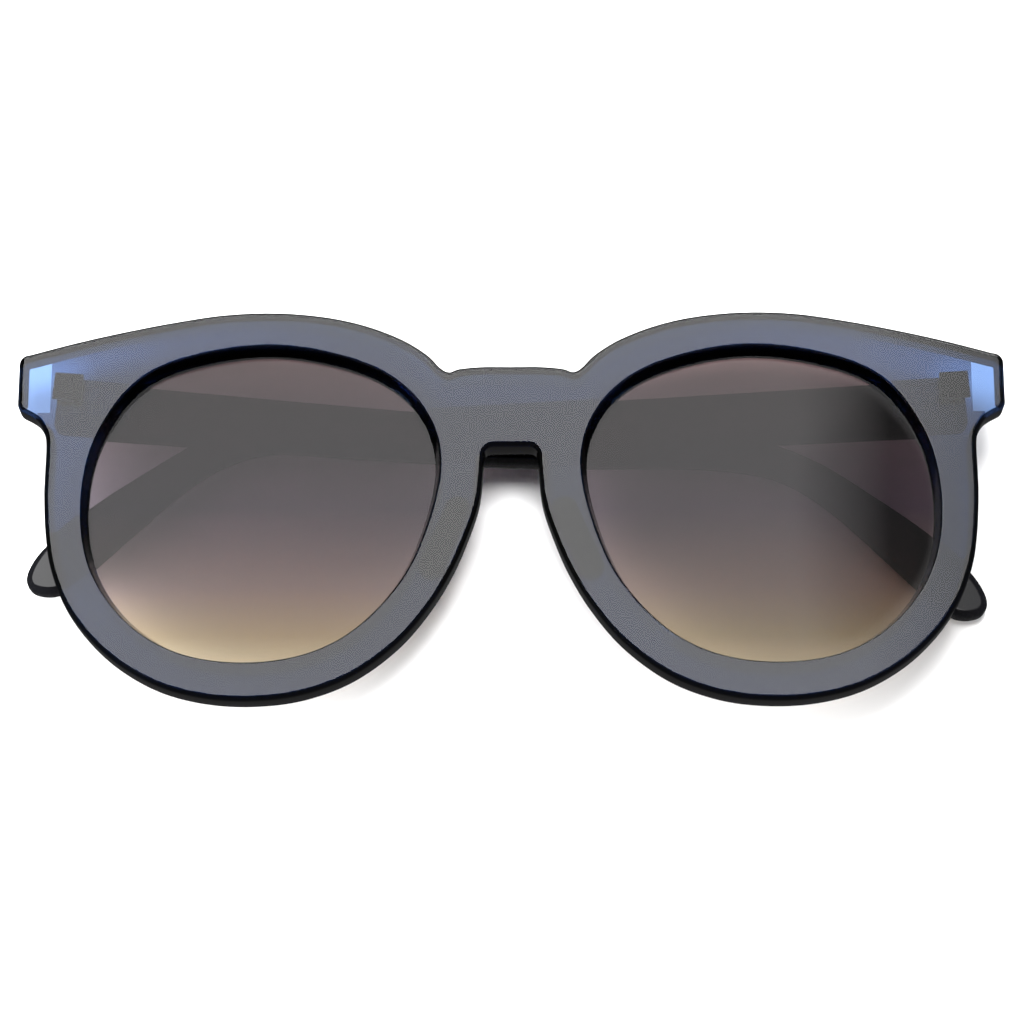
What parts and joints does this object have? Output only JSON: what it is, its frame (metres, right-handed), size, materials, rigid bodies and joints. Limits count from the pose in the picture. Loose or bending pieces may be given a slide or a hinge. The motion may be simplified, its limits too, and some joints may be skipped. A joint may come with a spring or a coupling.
{
  "type": "oversized sunglasses",
  "caption": "Oversized sunglasses with a thick translucent slab front, rounded gradient lenses and opaque temples that fold flat on screw hinges.",
  "frame": {"origin": "under the middle of the front, at the lowest point of the folded temples", "axes": "+X across the front towards the wearer's left, +Y up to the brow, +Z out of the front face; the front is parallel to XY and the glasses lie on the folded temples"},
  "size_m": [0.1508, 0.0617, 0.0175],
  "materials": {
    "front_acetate": "polished translucent navy",
    "lens_tint": "smooth, tint fading from dark at the top to sand at the bottom",
    "pad_acetate": "polished translucent navy",
    "temple_acetate": "polished opaque black",
    "hinge_steel": "satin",
    "screw_steel": "bright",
    "core_wire": "drawn"
  },
  "bodies": {
    "front": {"front_frame": "front_acetate", "lens_left": "lens_tint", "lens_right": "lens_tint", "nose_pad_left": "pad_acetate", "nose_pad_right": "pad_acetate", "front_hinge_left": "hinge_steel", "front_hinge_right": "hinge_steel", "hinge_screw_left": "screw_steel", "hinge_screw_right": "screw_steel"},
    "left_temple": {"temple_left": "temple_acetate", "temple_hinge_left": "hinge_steel", "temple_core_left": "core_wire"},
    "right_temple": {"temple_right": "temple_acetate", "temple_hinge_right": "hinge_steel", "temple_core_right": "core_wire"}
  },
  "joints": [
    {"name": "left_temple_fold", "type": "hinge", "parent": "front", "child": "left_temple", "pos_m": [0.068, 0.0194, 0.00948], "axis": [0.0698, -0.9976, 0], "range_deg": [0, 91.64]},
    {"name": "right_temple_fold", "type": "hinge", "parent": "front", "child": "right_temple", "pos_m": [-0.068, 0.0194, 0.00948], "axis": [0.0819, 0.9966, 0], "range_deg": [0, 88.36]}
  ]
}
